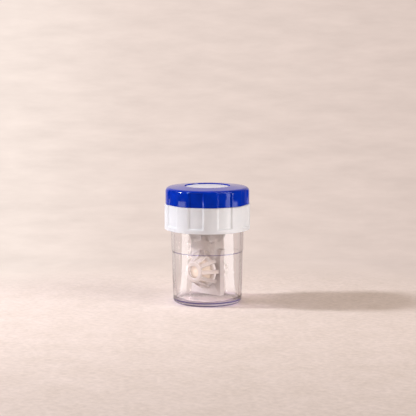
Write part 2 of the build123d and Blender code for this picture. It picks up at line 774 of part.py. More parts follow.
# ======================================================================================
# Baskets: a hub ring with fingers that reach down round the lens seat
# ======================================================================================
def build_basket(side):
    slope = finger_slope()
    stretch = sqrt(1 + slope**2)
    along = (slope / stretch, -1 / stretch)
    across = (1 / stretch, slope / stretch)
    half = finger_thickness / 2
    outer_end = (finger_end_radius + half * across[0], finger_end + half * across[1])
    inner_end = (finger_end_radius - half * across[0], finger_end - half * across[1])
    ring_back = ring_face - ring_thickness
    root = (ring_radius + ring_hole) / 2
    outer_top = (outer_end[0] - slope * (ring_face - outer_end[1]), ring_face)
    with BuildPart() as basket:
        with BuildSketch(side_plane(side, ring_back)):
            Circle(ring_radius)
            Circle(ring_hole, mode=Mode.SUBTRACT)
        extrude(amount=ring_thickness)
        for index in range(finger_count):
            with BuildSketch(section_plane(side, finger_phase + 360 / finger_count * index)):
                with BuildLine():
                    Polyline(
                        (root, ring_face),
                        (root, ring_back),
                        (finger_inside(ring_back), ring_back),
                        inner_end,
                        outer_end,
                        outer_top,
                        close=True,
                    )
                make_face()
            extrude(amount=finger_width / 2, both=True)
    return basket.part


pieces = [
    cup.part,
    collar.part,
    cup_gasket.part,
    knob.part,
    knob_disc.part,
    knob_screw.part,
    drive_shaft.part,
    shaft_seal.part,
    thrust_washer.part,
    drive_pinion.part,
    hanger.part,
    basket_plate.part,
    wheel_axle.part,
    axle_clips.part,
]
for name, side in (("front", -1), ("back", 1)):
    for noun, build in (("wheel", build_wheel), ("lens_seat", build_seat), ("basket", build_basket)):
        piece = build(side)
        piece.label = f"{name}_{noun}"
        pieces.append(piece)

os.makedirs("parts", exist_ok=True)
for piece in pieces:
    export_step(piece, f"parts/{piece.label}.step")
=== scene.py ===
# %% [markdown]
# # A hand-turned contact lens cleaner
# A clear cup stands on a table. A white screw collar closes it, and a blue knob on top turns
# two small baskets inside, each of which holds a lens on a dome. This lesson dresses the
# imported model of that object: the parts whose form shows are modelled again with soft edges,
# and every surface gets the finish of its real plastic.

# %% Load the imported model
import math

import bmesh
import bpy
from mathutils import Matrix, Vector


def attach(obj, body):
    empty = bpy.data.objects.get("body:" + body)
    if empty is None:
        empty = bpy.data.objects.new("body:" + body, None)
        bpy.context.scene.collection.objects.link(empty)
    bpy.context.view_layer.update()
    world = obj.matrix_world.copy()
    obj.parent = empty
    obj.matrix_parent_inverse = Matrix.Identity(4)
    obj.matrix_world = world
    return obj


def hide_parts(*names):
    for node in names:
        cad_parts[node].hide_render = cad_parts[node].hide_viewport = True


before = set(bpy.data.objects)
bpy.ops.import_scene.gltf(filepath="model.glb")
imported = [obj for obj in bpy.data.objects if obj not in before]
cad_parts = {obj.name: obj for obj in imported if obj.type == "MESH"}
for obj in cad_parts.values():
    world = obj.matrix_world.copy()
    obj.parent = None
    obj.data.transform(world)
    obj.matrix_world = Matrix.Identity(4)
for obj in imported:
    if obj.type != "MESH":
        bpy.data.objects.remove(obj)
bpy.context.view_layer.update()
MM = 0.001
print("parts:", sorted(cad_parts))

# %% [markdown]
# ## The camera
# The picture was taken from a little above, with the axle of the baskets turned 41 degrees
# away. A long lens keeps the cup's sides nearly upright. The frame is square.

# %% Camera
view_turn = math.radians(41.3)
view_tilt = math.radians(7.523)
camera_reach = 724.1 * MM
camera_height = 150.83 * MM
to_right = Vector((math.cos(view_turn), math.sin(view_turn), 0))
to_camera = Vector((math.sin(view_turn), -math.cos(view_turn), 0))
camera_place = to_camera * camera_reach + Vector((0, 0, camera_height))
bpy.ops.object.camera_add(
    location=camera_place,
    rotation=(math.pi / 2 - view_tilt, 0, view_turn - math.radians(0.031)),
)
camera = bpy.context.object
camera.data.sensor_width = 36
camera.data.lens = 36 * 1250.6 / 416
bpy.context.scene.camera = camera
print("camera at", tuple(round(v, 3) for v in camera_place))

# %% [markdown]
# ## Colours and nodes
# Colours are written as they look on a screen, in hex, and one function turns them into the
# linear light values that the shaders want. A second small function adds a node and fills its
# inputs: with a number or a colour, or with a link where it is given another node. Where no
# output is named, the first one in use is meant.


# %% Colour and node helpers
def light_value(hex_colour, alpha=1.0):
    """A screen colour such as F9E4D8 as linear red, green, blue and alpha."""
    channels = [int(hex_colour[i:i + 2], 16) / 255 for i in (0, 2, 4)]
    linear = [c / 12.92 if c <= 0.04045 else ((c + 0.055) / 1.055) ** 2.4 for c in channels]
    return (*linear, alpha)


def add_node(tree, kind, inputs=None, **settings):
    """Adds one shader node; an input that is given a node or an output is linked to it."""
    node = tree.nodes.new("ShaderNode" + kind)
    for name, value in settings.items():
        setattr(node, name, value)
    for name, value in (inputs or {}).items():
        if isinstance(value, bpy.types.Node):
            value = next(output for output in value.outputs if output.enabled)
        if isinstance(value, bpy.types.NodeSocket):
            tree.links.new(value, node.inputs[name])
        else:
            node.inputs[name].default_value = value
    return node


def new_material(name):
    """A material with an empty node tree."""
    material = bpy.data.materials.new(name)
    material.use_nodes = True
    material.node_tree.nodes.clear()
    return material, material.node_tree


print("white is", light_value("FFFFFF"))

# %% [markdown]
# ## Plastics
# Every plastic here is injection moulded, so its surface is smooth with a very faint unevenness,
# and its colour hardly varies. One recipe serves them all: a little cloudiness in the colour,
# a fine bump from the mould's texture, and patches where handling has dulled the gloss. Where
# an edge colour is given, sharp outward edges at the sides are painted paler, as a painted
# highlight. In a translucent plastic, light_through lets that share of a lamp's light
# pass, as thin walls do. The sizes of these patterns are real millimetres. The mould's grain is
# about 0.2 mm, drawn as 0.5 to 0.8 mm, because a finer one would not show.

# %% A recipe for moulded plastic
cloud_size = 7.0
rub_size = 2.5


def object_place(tree, millimetres):
    """Object coordinates scaled so that one step of a pattern is that many millimetres."""
    place = add_node(tree, "TexCoord").outputs["Object"]
    size = 1 / (millimetres * MM)
    return add_node(tree, "Mapping", {"Vector": place, "Scale": (size, size, size)})


def paint_edge_highlights(tree, colour, edge_highlight):
    """Paints sharp outward edges at the sides paler: a painted highlight."""
    way = add_node(tree, "TexCoord").outputs["Normal"]
    upwards = add_node(tree, "SeparateXYZ", {"Vector": way}).outputs["Z"]
    sideways = add_node(
        tree,
        "MapRange",
        {"Value": upwards, "From Min": 0.5, "From Max": 0.8, "To Min": 1.0, "To Max": 0.0},
    )
    sharpness = add_node(tree, "NewGeometry").outputs["Pointiness"]
    edge = add_node(tree, "MapRange", {"Value": sharpness, "From Min": 0.54, "From Max": 0.62})
    share = add_node(tree, "Math", {0: edge, 1: sideways}, operation="MULTIPLY")
    return add_node(
        tree, "Mix", {"Factor": share, "A": colour, "B": light_value(edge_highlight)}, data_type="RGBA"
    )


def pass_light(tree, surface, colour, light_through):
    """Lets light glow through a surface, and lets a share of the lamps' light go past it."""
    tone = {"Color": light_value(colour)}
    glow = add_node(tree, "BsdfTranslucent", tone)
    glowing = add_node(tree, "MixShader", {"Fac": 0.35 * light_through, 1: surface, 2: glow})
    shadow_ray = add_node(tree, "LightPath").outputs["Is Shadow Ray"]
    share = add_node(tree, "Math", {0: shadow_ray, 1: light_through}, operation="MULTIPLY")
    clear = add_node(tree, "BsdfTransparent", tone)
    return add_node(tree, "MixShader", {"Fac": share, 1: glowing, 2: clear})


def moulded_plastic(
    name, colour, shade, roughness, gloss_spread, grain, grain_depth,
    edge_highlight=None, light_through=0.0, **sockets
):
    """A moulded plastic: colour clouds, dulled patches and the mould's fine grain."""
    material, tree = new_material(name)
    clouds = add_node(
        tree,
        "TexNoise",
        {"Vector": object_place(tree, cloud_size), "Scale": 1, "Detail": 3, "Roughness": 0.55},
    )
    spread = add_node(tree, "MapRange", {"Value": clouds, "From Min": 0.35, "From Max": 0.7})
    base = add_node(
        tree,
        "Mix",
        {"Factor": spread, "A": light_value(colour), "B": light_value(shade)},
        data_type="RGBA",
    )
    if edge_highlight:
        base = paint_edge_highlights(tree, base, edge_highlight)
    rubbed = add_node(
        tree,
        "TexNoise",
        {"Vector": object_place(tree, rub_size), "Scale": 1, "Detail": 6, "Roughness": 0.7},
    )
    low, high = roughness - gloss_spread, roughness + gloss_spread
    dulled = add_node(
        tree,
        "MapRange",
        {"Value": rubbed, "From Min": 0.35, "From Max": 0.75, "To Min": low, "To Max": high},
    )
    fine = add_node(
        tree, "TexNoise", {"Vector": object_place(tree, grain), "Scale": 1, "Detail": 2}
    )
    bump = add_node(
        tree, "Bump", {"Height": fine, "Strength": 0.35, "Distance": grain_depth * MM}
    )
    surface = add_node(
        tree,
        "BsdfPrincipled",
        {"Base Color": base, "Roughness": dulled, "Normal": bump, "Subsurface Radius": (1, 1, 1)}
        | sockets,
    )
    if light_through:
        surface = pass_light(tree, surface, colour, light_through)
    add_node(tree, "OutputMaterial", {"Surface": surface})
    return material


# %% The plastics
# Glossy ABS, dyed through: a deep, even blue with sharp lights.
# Its sharp side edges are painted light blue, as a painted highlight.
knob_abs = moulded_plastic(
    "glossy blue ABS", "0034C0", "002EAC", 0.12, 0.04, 0.6, 0.003,
    edge_highlight="7C9CF2", **{"IOR": 1.5, "Specular IOR Level": 0.28}
)
# Filled white polypropylene: satin, a cool white, and a little light goes through thin edges.
collar_pp = moulded_plastic(
    "satin white polypropylene", "F6F9FF", "EFF3FA", 0.36, 0.06, 0.6, 0.004,
    light_through=0.45, **{"IOR": 1.49, "Subsurface Weight": 0.12, "Subsurface Scale": 0.0015}
)
# Polypropylene sheet of the disc: pale, with a fine matt texture.
disc_pp = moulded_plastic(
    "matt pale disc", "E2E4F4", "DCDEEF", 0.5, 0.05, 0.5, 0.004, **{"IOR": 1.49}
)
# Unfilled polypropylene of the shaft, the pinion and the wheels: milky and waxy.
# Its sharp side edges are painted paler, as a painted highlight.
milky_pp = moulded_plastic(
    "milky natural polypropylene", "E8E2DD", "DED7D2", 0.34, 0.06, 0.8, 0.005,
    edge_highlight="F6F4F6", light_through=0.7,
    **{"IOR": 1.49, "Transmission Weight": 0.1, "Subsurface Weight": 0.2,
       "Subsurface Scale": 0.001}
)
# Clarified polypropylene of the hanger: light passes through it and is scattered a little, so
# its flat faces look grey; its sharp side edges are painted white, as a painted highlight.
clear_pp = moulded_plastic(
    "clarified polypropylene", "FAF6F3", "F5F0ED", 0.24, 0.05, 0.8, 0.003,
    edge_highlight="FFFFFF", light_through=0.9,
    **{"IOR": 1.49, "Transmission Weight": 0.7, "Subsurface Weight": 0.4,
       "Subsurface Scale": 0.003}
)
# The plate's polypropylene is greyer and less clear.
# Its sharp side edges are painted paler, as a painted highlight.
plate_pp = moulded_plastic(
    "natural polypropylene sheet", "D2CBC9", "CAC3C1", 0.24, 0.05, 0.8, 0.003,
    edge_highlight="F4F1F1", light_through=0.8,
    **{"IOR": 1.49, "Transmission Weight": 0.35, "Subsurface Weight": 0.4,
       "Subsurface Scale": 0.002}
)
# The baskets' is cloudier than the hanger's, so their fingers stand out.
# Their sharp side edges are painted white, as a painted highlight.
basket_pp = moulded_plastic(
    "cloudy clarified polypropylene", "EBE6E3", "E3DEDB", 0.24, 0.05, 0.8, 0.003,
    edge_highlight="FFFFFF", light_through=0.8,
    **{"IOR": 1.49, "Transmission Weight": 0.25, "Subsurface Weight": 0.4,
       "Subsurface Scale": 0.002}
)
# Ivory polypropylene of the lens seats, polished so that it can't scratch a lens.
seat_pp = moulded_plastic(
    "polished ivory polypropylene", "E6DCCE", "DED3C5", 0.25, 0.05, 0.6, 0.002,
    **{"IOR": 1.49, "Subsurface Weight": 0.1, "Subsurface Scale": 0.0005}
)
# Silicone rubber of the gasket and the shaft's seal: milky grey, matt and soft.
silicone = moulded_plastic(
    "grey silicone rubber", "C9C8CC", "BDBCC2", 0.55, 0.08, 0.5, 0.006,
    **{"IOR": 1.41, "Subsurface Weight": 0.2, "Subsurface Scale": 0.001}
)
print("plastics:", [material.name for material in bpy.data.materials])

# %% [markdown]
# ## Steel
# The axle, its clips and the knob's screw are stainless steel. Turned and drawn wire has fine
# lines round it; they are drawn at 0.15 mm, about three times as coarse as real ones.

# %% Stainless steel
steel, steel_tree = new_material("turned stainless steel")
lines = add_node(
    steel_tree, "TexNoise", {"Vector": object_place(steel_tree, 0.15), "Scale": 1, "Detail": 2}
)
steel_tone = add_node(
    steel_tree,
    "Mix",
    {"Factor": lines, "A": light_value("C4C2BF"), "B": light_value("AEACAA")},
    data_type="RGBA",
)
steel_gloss = add_node(steel_tree, "MapRange", {"Value": lines, "To Min": 0.22, "To Max": 0.38})
steel_bump = add_node(
    steel_tree, "Bump", {"Height": lines, "Strength": 0.2, "Distance": 0.003 * MM}
)
steel_surface = add_node(
    steel_tree,
    "BsdfPrincipled",
    {"Base Color": steel_tone, "Roughness": steel_gloss, "Normal": steel_bump, "Metallic": 1},
)
add_node(steel_tree, "OutputMaterial", {"Surface": steel_surface})
print("steel made")

# %% [markdown]
# ## Clear cup plastic
# The cup is clear styrene. A Principled shader with full transmission bends the light as the
# plastic does. Such a shader alone would throw a black shadow, so shadow rays see a pale
# see-through shader instead. The plastic has a weak violet tint, as a volume, which shows where
# the wall is seen edge on. Three thin dark violet bands are painted into its colour on the
# outside, at the fill line and two at the foot, where the floor and the lower edge are seen edge
# on: painted shade for the dark lines that the bent light draws there. They are painted only for
# light that enters the plastic towards the inside, so only the nearer half looks dark. The
# outline, where the wall is seen edge on, is painted dark violet too, as painted shade.

# %% Clear styrene
cup_styrene, cup_tree = new_material("clear styrene")
scuffs = add_node(
    cup_tree,
    "TexNoise",
    {"Vector": object_place(cup_tree, 4.0), "Scale": 1, "Detail": 5, "Roughness": 0.6},
)
scuff_gloss = add_node(
    cup_tree,
    "MapRange",
    {"Value": scuffs, "From Min": 0.45, "From Max": 0.85, "To Min": 0.0, "To Max": 0.05},
)
cup_bump = add_node(
    cup_tree, "Bump", {"Height": scuffs, "Strength": 0.05, "Distance": 0.02 * MM}
)
cup_spot = add_node(cup_tree, "SeparateXYZ", {"Vector": object_place(cup_tree, 1.0)})
cup_flat = add_node(
    cup_tree, "CombineXYZ", {axis: cup_spot.outputs[axis] for axis in "XY"}
)
cup_radius = add_node(cup_tree, "VectorMath", {0: cup_flat}, operation="LENGTH")
inner_face = add_node(cup_tree, "NewGeometry").outputs["Backfacing"]
entering = add_node(cup_tree, "Math", {0: 1.0, 1: inner_face}, operation="SUBTRACT")


def painted_shade_band(height, half_height, least_radius):
    """Where a dark band is painted: 1 at a height of the cup's outside, softly 0 beyond, for rays
    that enter the plastic.
    """
    distance = add_node(
        cup_tree, "Math", {0: cup_spot.outputs["Z"], 1: height}, operation="SUBTRACT"
    )
    distance = add_node(cup_tree, "Math", {0: distance}, operation="ABSOLUTE")
    share = add_node(
        cup_tree,
        "MapRange",
        {"Value": distance, "From Min": half_height * 1.3, "From Max": half_height * 0.7},
        interpolation_type="SMOOTHSTEP",
    )
    outside = add_node(
        cup_tree, "Math", {0: cup_radius, 1: least_radius}, operation="GREATER_THAN"
    )
    for factor in (outside, entering):
        share = add_node(cup_tree, "Math", {0: share, 1: factor}, operation="MULTIPLY")
    return share


cup_colour = light_value("FDFCFD")
grazing = add_node(cup_tree, "LayerWeight", {"Blend": 0.5}).outputs["Facing"]
rim = add_node(cup_tree, "MapRange", {"Value": grazing, "From Min": 0.72, "From Max": 1.0})
# Painted shade: the cup's colour turns dark violet in three thin bands and at the outline, for the
# dark lines that bent light draws there.
for share, hue in (
    (painted_shade_band(30.45, 0.22, 19.8), "5D5098"),
    (painted_shade_band(0.6, 0.6, 17.5), "6C60AC"),
    (painted_shade_band(2.4, 0.45, 19.8), "2E2278"),
    (rim, "4C4080"),
):
    cup_colour = add_node(
        cup_tree,
        "Mix",
        {"Factor": share, "A": cup_colour, "B": light_value(hue)},
        data_type="RGBA",
    )
cup_clear = add_node(
    cup_tree,
    "BsdfPrincipled",
    {
        "Base Color": cup_colour,
        "Roughness": scuff_gloss,
        "Normal": cup_bump,
        "IOR": 1.57,
        "Transmission Weight": 1.0,
    },
)
edge_on = add_node(cup_tree, "LayerWeight", {"Blend": 0.35}).outputs["Facing"]
shadow_tone = add_node(
    cup_tree,
    "Mix",
    {"Factor": edge_on, "A": light_value("E9E7EA"), "B": light_value("C0BAC4")},
    data_type="RGBA",
)
cup_shadow = add_node(cup_tree, "BsdfTransparent", {"Color": shadow_tone})
shadow_ray = add_node(cup_tree, "LightPath").outputs["Is Shadow Ray"]
cup_surface = add_node(cup_tree, "MixShader", {"Fac": shadow_ray, 1: cup_clear, 2: cup_shadow})
cup_tint = add_node(
    cup_tree, "VolumeAbsorption", {"Color": light_value("C2BBCE"), "Density": 20.0}
)
add_node(cup_tree, "OutputMaterial", {"Surface": cup_surface, "Volume": cup_tint})
print("cup plastic made")

# %% [markdown]
# ## Modelling by hand, in code
# Most of this object is turned round one axis. Such a part is drawn as a potter draws it: one
# ring, then the next, each extruded from the last and scaled to its radius. Work in edit mode
# acts on what is selected, so everything is deselected first, and vertices are then picked by
# their place. A finished piece rides on its moving body and stands for its node.


# %% Selecting and editing
def clear_selection():
    """Back to object mode, with nothing selected."""
    if bpy.context.object and bpy.context.object.mode != "OBJECT":
        bpy.ops.object.mode_set(mode="OBJECT")
    bpy.ops.object.select_all(action="DESELECT")


def select_only(piece):
    """Selects one piece alone and makes it the active one."""
    clear_selection()
    piece.select_set(True)
    bpy.context.view_layer.objects.active = piece


def work_on(piece):
    """Opens one piece in edit mode, with nothing in it selected."""
    select_only(piece)
    bpy.ops.object.mode_set(mode="EDIT")
    bpy.ops.mesh.select_mode(type="VERT")
    bpy.ops.mesh.select_all(action="DESELECT")


def pick(piece, wanted):
    """In edit mode, selects the vertices (in mm) for which wanted(x, y, z) is true."""
    mesh = bmesh.from_edit_mesh(piece.data)
    for vertex in mesh.verts:
        vertex.select = bool(wanted(*(vertex.co / MM)))
    mesh.select_flush(True)
    bmesh.update_edit_mesh(piece.data)


def pick_faces(piece, wanted):
    """In edit mode, selects the faces whose middle (in mm) and normal are wanted."""
    bpy.ops.mesh.select_mode(type="FACE")
    mesh = bmesh.from_edit_mesh(piece.data)
    for face in mesh.faces:
        face.select = bool(wanted(face.calc_center_median() / MM, face.normal))
    mesh.select_flush_mode()
    bmesh.update_edit_mesh(piece.data)


def near(value, target, room=0.004):
    """True where two lengths in mm are the same but for rounding."""
    return abs(value - target) < room


def leave_edit():
    """Back to object mode, which stores the edited mesh."""
    bpy.ops.object.mode_set(mode="OBJECT")


def draw_rings(name, profile, steps, turn=0.0, filled=False, ending="close"):
    """A turned form: rings of a profile of (radius, height) in mm, extruded one by one.

    ending "close" bridges the last ring to the first, "point" closes it at the axis."""
    clear_selection()
    radius, height = profile[0]
    bpy.ops.mesh.primitive_circle_add(
        vertices=steps,
        radius=radius * MM,
        fill_type="TRIFAN" if filled else "NOTHING",
        location=(0, 0, height * MM),
        rotation=(0, 0, math.radians(turn)),
    )
    piece = bpy.context.object
    piece.name = piece.data.name = name
    bpy.ops.object.transform_apply(location=True, rotation=True, scale=True)
    work_on(piece)
    bpy.ops.mesh.select_mode(type="EDGE")
    bpy.ops.mesh.select_all(action="SELECT")
    if filled:
        bpy.ops.mesh.region_to_loop()
    for next_radius, next_height in profile[1:]:
        rise = (next_height - height) * MM
        bpy.ops.mesh.extrude_edges_move(TRANSFORM_OT_translate={"value": (0, 0, rise)})
        grow = next_radius / radius
        bpy.ops.transform.resize(value=(grow, grow, 1), center_override=(0, 0, 0))
        radius, height = next_radius, next_height
    if ending == "point":
        bpy.ops.mesh.extrude_edges_move()
        bpy.ops.mesh.merge(type="CENTER")
    else:
        first_radius, first_height = profile[0]
        bpy.ops.mesh.select_mode(type="VERT")
        pick(
            piece,
            lambda x, y, z: near(math.hypot(x, y), radius) and near(z, height)
            or near(math.hypot(x, y), first_radius) and near(z, first_height),
        )
        bpy.ops.mesh.select_mode(type="EDGE")
        bpy.ops.mesh.bridge_edge_loops()
    bpy.ops.mesh.select_mode(type="VERT")
    bpy.ops.mesh.select_all(action="SELECT")
    bpy.ops.mesh.normals_make_consistent(inside=False)
    leave_edit()
    return piece


def arc(centre_radius, centre_height, radius, start, end, parts):
    """Points on an arc of a profile, from one angle to another, in degrees."""
    points = []
    for i in range(parts + 1):
        angle = math.radians(start + (end - start) * i / parts)
        points.append(
            (centre_radius + radius * math.cos(angle), centre_height + radius * math.sin(angle))
        )
    return points


def add_modifier(piece, kind, **settings):
    """Adds a modifier and applies it at once."""
    select_only(piece)
    modifier = piece.modifiers.new(kind.title(), kind)
    for name, value in settings.items():
        setattr(modifier, name, value)
    bpy.ops.object.modifier_apply(modifier=modifier.name)


def soften(piece, width, segments=3, angle=30):
    """Rounds every edge sharper than the angle, as a mould's edges are."""
    add_modifier(
        piece,
        "BEVEL",
        width=width * MM,
        segments=segments,
        limit_method="ANGLE",
        angle_limit=math.radians(angle),
    )


def open_edges(piece):
    """How many edges don't join exactly two faces; a closed piece has none."""
    mesh = bmesh.new()
    mesh.from_mesh(piece.data)
    count = sum(not edge.is_manifold for edge in mesh.edges)
    mesh.free()
    return count


def finish_piece(piece, body, nodes, material, smooth=35):
    """Smooth shading, a finish, a body to ride on and the nodes that the piece stands for."""
    select_only(piece)
    bpy.ops.object.shade_smooth_by_angle(angle=math.radians(smooth))
    piece.data.materials.clear()
    piece.data.materials.append(material)
    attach(piece, body)
    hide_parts(*nodes)
    faces = len(piece.data.polygons)
    print(piece.name, faces, "faces,", open_edges(piece), "open edges")


weld_distance = 0.002 * MM


def cut_away(piece, tool, operation="DIFFERENCE"):
    """Cuts one form out of another, or joins both with "UNION", and removes the tool."""
    add_modifier(piece, "BOOLEAN", object=tool, operation=operation, solver="MANIFOLD")
    bpy.data.objects.remove(tool, do_unlink=True)
    work_on(piece)
    bpy.ops.mesh.select_all(action="SELECT")
    bpy.ops.mesh.remove_doubles(threshold=weld_distance)
    bpy.ops.mesh.dissolve_degenerate(threshold=weld_distance)
    leave_edit()


# %% [markdown]
# ## The screw thread
# A ridge of 1.25 turns winds up the cup's neck, and its mate winds down inside the collar. The
# section of the ridge is drawn once, in the plane y = 0, and a Screw modifier sweeps it
# round. The ridge is then joined to the wall with a Boolean, so that wall and ridge are one.

# %% Thread ridges
thread_pitch = 4.0
thread_turns = 1.25
ridge_height = 1.0
ridge_sunk = 0.3
ridge_foot_half = 1.0
ridge_tip_half = 0.45


def thread_ridge(name, radius, way, start):
    """The ridge of a screw thread on a wall of that radius; way is +1 outwards."""
    clear_selection()
    bpy.ops.mesh.primitive_plane_add(size=1 * MM, location=(0, 0, 0), rotation=(math.pi / 2, 0, 0))
    ridge = bpy.context.object
    ridge.name = ridge.data.name = name
    bpy.ops.object.transform_apply(location=True, rotation=True, scale=True)
    foot, tip = radius - way * ridge_sunk, radius + way * ridge_height
    corners = {
        (-1, -1): (foot, start - ridge_foot_half),
        (1, -1): (tip, start - ridge_tip_half),
        (1, 1): (tip, start + ridge_tip_half),
        (-1, 1): (foot, start + ridge_foot_half),
    }
    for side, place in corners.items():
        work_on(ridge)
        pick(ridge, lambda x, y, z: near(x, side[0] * 0.5) and near(z, side[1] * 0.5))
        move = ((place[0] - side[0] * 0.5) * MM, 0, (place[1] - side[1] * 0.5) * MM)
        bpy.ops.transform.translate(value=move)
        leave_edit()
    work_on(ridge)
    bpy.ops.mesh.select_all(action="SELECT")
    bpy.ops.mesh.delete(type="ONLY_FACE")
    leave_edit()
    add_modifier(
        ridge,
        "SCREW",
        axis="Z",
        angle=2 * math.pi * thread_turns,
        screw_offset=thread_pitch * thread_turns * MM,
        steps=150,
        render_steps=150,
    )
    work_on(ridge)
    bpy.ops.mesh.select_non_manifold()
    bpy.ops.mesh.fill_holes(sides=4)
    bpy.ops.mesh.select_all(action="SELECT")
    bpy.ops.mesh.normals_make_consistent(inside=False)
    leave_edit()
    return ridge


# %% [markdown]
# ## The cup
# A beaker with a foot ring, a wall that widens a little upwards and a small outward step at
# the fill line. A solid of revolution: one ring drawn up the outside, over the rim, down the
# inside and to the middle of the floor. Rounded corners are short arcs of rings.

# %% Cup
cup_profile = [(15.1, 0.8), (15.9, 0.0), (17.9, 0.0)]
cup_profile += arc(17.9, 2.3, 2.3, -90, 0, 8)[1:]
cup_profile += [(20.78, 30.0), (20.83, 30.25), (21.02, 30.65), (21.07, 30.9)]
cup_profile += [(21.25, 43.2), (21.25, 55.0), (21.05, 55.2)]
cup_profile += [(19.85, 55.2), (19.65, 55.0), (19.65, 43.2), (18.6, 4.6)]
cup_profile += arc(16.6, 4.6, 2.0, 0, -90, 8)[1:]
cup = draw_rings("cup_clear", cup_profile, 192, filled=True, ending="point")
cup_ridge = thread_ridge("cup_ridge", 21.25, 1, 47.4)
cut_away(cup, cup_ridge, "UNION")
finish_piece(cup, "cup", ["cup"], cup_styrene)

# %% [markdown]
# ## Grip panels
# Collar and knob share nine sunk panels round their outside, with raised ones of the same
# width between them. Rows of vertices stand at the panels' borders, because both are drawn
# with a vertex every two degrees from 0.6 degrees. The rows within a panel are pulled in
# towards the axis, which leaves short slopes at its borders.

# %% Sinking the panels
panel_count = 9
panel_middle = 15.6
panel_depth = 0.7


def in_panel(x, y, half_width):
    """True where a point lies within half a panel's width of a sunk panel's middle."""
    step = 360 / panel_count
    offset = (math.degrees(math.atan2(y, x)) - panel_middle + step / 2) % step - step / 2
    return abs(offset) <= half_width + 0.05


def sink_panels(piece, rows, half_width=9.0):
    """Pulls each row (radius, height in mm) of the panels in to its given radius."""
    for radius, height, sunk_radius in rows:
        work_on(piece)
        pick(
            piece,
            lambda x, y, z: near(z, height) and near(math.hypot(x, y), radius)
            and in_panel(x, y, half_width),
        )
        pull = sunk_radius / radius
        bpy.ops.transform.resize(value=(pull, pull, 1), center_override=(0, 0, 0))
        leave_edit()


# %% [markdown]
# ## The collar
# A white screw cap with a plain band at its lower edge. Its deck carries a ring that plugs the
# cup's mouth and a long boss in which the shaft runs.

# %% Collar
collar_profile = [(22.5, 43.2), (24.5, 43.2)]
collar_profile += arc(24.5, 43.7, 0.5, -90, 0, 4)[1:]
collar_profile += [(25.0, 45.6), (25.0, 46.1), (25.0, 57.75), (24.75, 58.0), (3.05, 58.0)]
collar_profile += [(3.05, 45.4), (6.4, 45.4), (6.4, 47.2), (5.9, 47.2), (5.9, 48.4)]
collar_profile += [(6.4, 48.4), (6.4, 56.0), (17.8, 56.0), (17.8, 52.0), (19.2, 52.0)]
collar_profile += [(19.2, 56.0), (22.5, 56.0)]
collar = draw_rings("collar_white", collar_profile, 180, turn=0.6)
collar_rows = [(25.0, 46.1), (25.0, 57.75), (24.75, 58.0)]
sink_panels(collar, [(*row, row[0] - panel_depth) for row in collar_rows])
soften(collar, 0.2, 3, 24)
collar_ridge = thread_ridge("collar_ridge", 22.5, -1, 45.4)
cut_away(collar, collar_ridge, "UNION")
finish_piece(collar, "lid", ["collar"], collar_pp)

# %% [markdown]
# ## The knob
# A hollow blue cap whose top falls a little from a shallow round recess to a rounded
# shoulder. Its panels run out just under the shoulder. Below, a boss with a socket takes the
# shaft, and six ribs stiffen the top. Those ribs are one flat bar, copied and turned.

# %% Knob
knob_radius = 24.5
knob_top = 68.5
recess_radius = 13.2
crown = math.radians(4.5)
shoulder_radius = 2.4
shoulder_middle = knob_radius - shoulder_radius
crown_height = knob_top - (shoulder_middle - recess_radius) * math.tan(crown)
shoulder_height = crown_height - shoulder_radius / math.cos(crown)
shoulder = arc(shoulder_middle, shoulder_height, shoulder_radius, 0, 24, 2)
shoulder += arc(shoulder_middle, shoulder_height, shoulder_radius, 32, 85.5, 5)
# Two more rings on the crown keep the painted edge highlights of recess and shoulder narrow.
crown_rings = (21.4, 14.0)
knob_profile = [(22.2, 58.15), (knob_radius, 58.15)] + shoulder
knob_profile += [
    (radius, knob_top - (radius - recess_radius) * math.tan(crown)) for radius in crown_rings
]
knob_profile += [(recess_radius, knob_top), (recess_radius, 67.25), (2.9, 67.25)]
knob_profile += [(2.9, 65.45), (1.3, 65.45), (1.3, 63.35), (2.9, 63.35), (2.9, 58.15)]
knob_profile += [(5.2, 58.15), (5.2, 65.5), (22.2, 65.5)]
knob = draw_rings("knob_blue", knob_profile, 180, turn=0.6)
knob_rows = [(knob_radius, 58.15)] + shoulder[:3]
sink_panels(knob, [(*row, knob_radius - panel_depth) for row in knob_rows])
soften(knob, 0.3, 3, 24)


def new_box(name, low, high):
    """A box between two corners, in mm."""
    clear_selection()
    middle = [(a + b) / 2 * MM for a, b in zip(low, high)]
    size = [(b - a) * MM for a, b in zip(low, high)]
    bpy.ops.mesh.primitive_cube_add(size=1, location=middle, scale=size)
    box = bpy.context.object
    box.name = box.data.name = name
    bpy.ops.object.transform_apply(location=True, rotation=True, scale=True)
    return box


def turned_copy(piece, angle):
    """A copy with its own mesh, turned round the upright axis by an angle in degrees."""
    copy = piece.copy()
    copy.data = piece.data.copy()
    bpy.context.collection.objects.link(copy)
    select_only(copy)
    copy.rotation_euler = (0, 0, math.radians(angle))
    bpy.ops.object.transform_apply(location=True, rotation=True, scale=True)
    return copy


def join_pieces(pieces, name):
    """Joins several forms into the first one."""
    select_only(pieces[0])
    for piece in pieces[1:]:
        piece.select_set(True)
    bpy.ops.object.join()
    pieces[0].name = pieces[0].data.name = name
    return pieces[0]


knob_rib = new_box("knob_rib", (4.6, -0.6, 61.83), (22.7, 0.6, 65.9))
knob_ribs = join_pieces(
    [knob_rib] + [turned_copy(knob_rib, 60 * i) for i in range(1, 6)], "knob_ribs"
)
cut_away(knob, knob_ribs, "UNION")
finish_piece(knob, "knob", ["knob"], knob_abs)

# %% [markdown]
# ## The disc
# A pale disc closes the recess and covers the screw. Its edge is slightly rounded.

# %% Disc
disc_profile = [(12.75, 67.25), (12.9, 67.3)]
disc_profile += arc(12.7, 67.65, 0.2, 0, 90, 4)
disc_profile += [(12.2, 67.85), (6.0, 67.85)]
disc = draw_rings("disc_pale", disc_profile, 144, filled=True, ending="point")
finish_piece(disc, "knob", ["knob_disc"], disc_pp)

